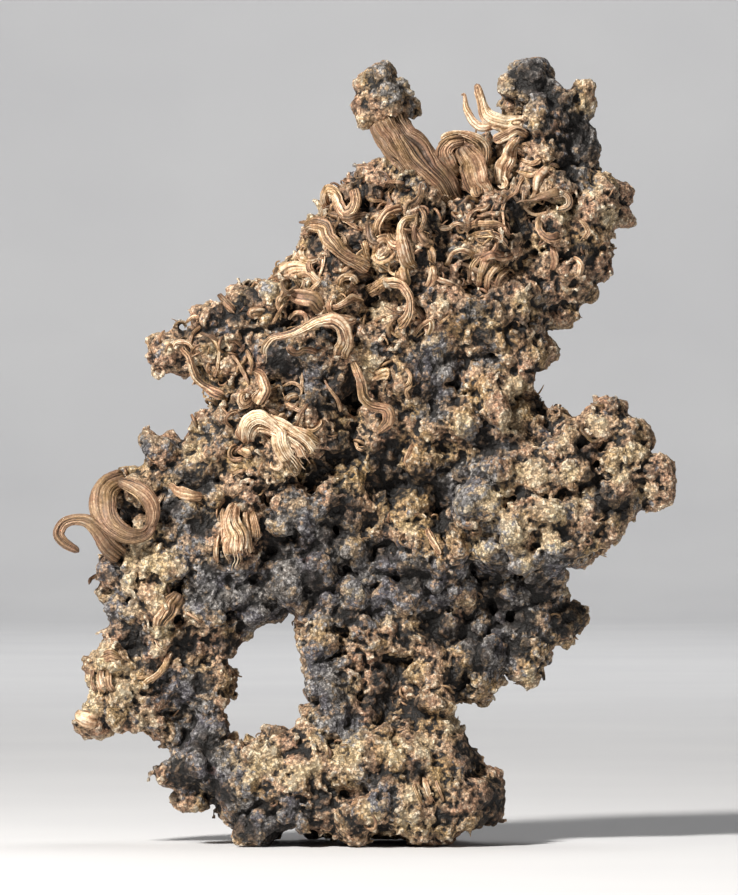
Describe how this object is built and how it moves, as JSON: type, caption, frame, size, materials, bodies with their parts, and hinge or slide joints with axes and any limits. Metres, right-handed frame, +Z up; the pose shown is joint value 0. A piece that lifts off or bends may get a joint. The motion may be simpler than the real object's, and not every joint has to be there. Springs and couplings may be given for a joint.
{
  "type": "native silver specimen",
  "caption": "Upright specimen of spongy, lumpy native silver with curled silver horns and wires, a window through its lower left and a broad foot that it stands on.",
  "frame": {"origin": "middle of the bounding box at the level of the surface that the specimen stands on", "axes": "+Z up along the specimen's height, -Y towards the face that shows the horns, +X to the right as seen from that side"},
  "size_m": [0.1036, 0.0356, 0.1307],
  "materials": {
    "spongy_silver": "rough spongy silver, tan with slate grey tarnish",
    "horn_silver": "satin silver with a warm tan tarnish, striated lengthwise"
  },
  "bodies": {
    "root": {"silver_mass": "spongy_silver", "broad_horn": "horn_silver", "hook_horn": "horn_silver", "fork_wire": "horn_silver", "strut_wire": "horn_silver", "drop_ribbon": "horn_silver", "folded_sheet": "horn_silver", "crown_loop": "horn_silver", "u_curl": "horn_silver", "folded_horn": "horn_silver", "arch_curl": "horn_silver", "omega_wire": "horn_silver", "c_hook": "horn_silver", "long_wire": "horn_silver", "cascade_ribbon": "horn_silver", "tip_bow": "horn_silver", "left_curl": "horn_silver", "fan_ribbons": "horn_silver", "centre_ribbon": "horn_silver", "lower_ribbon": "horn_silver", "corner_blade": "horn_silver"}
  },
  "joints": []
}
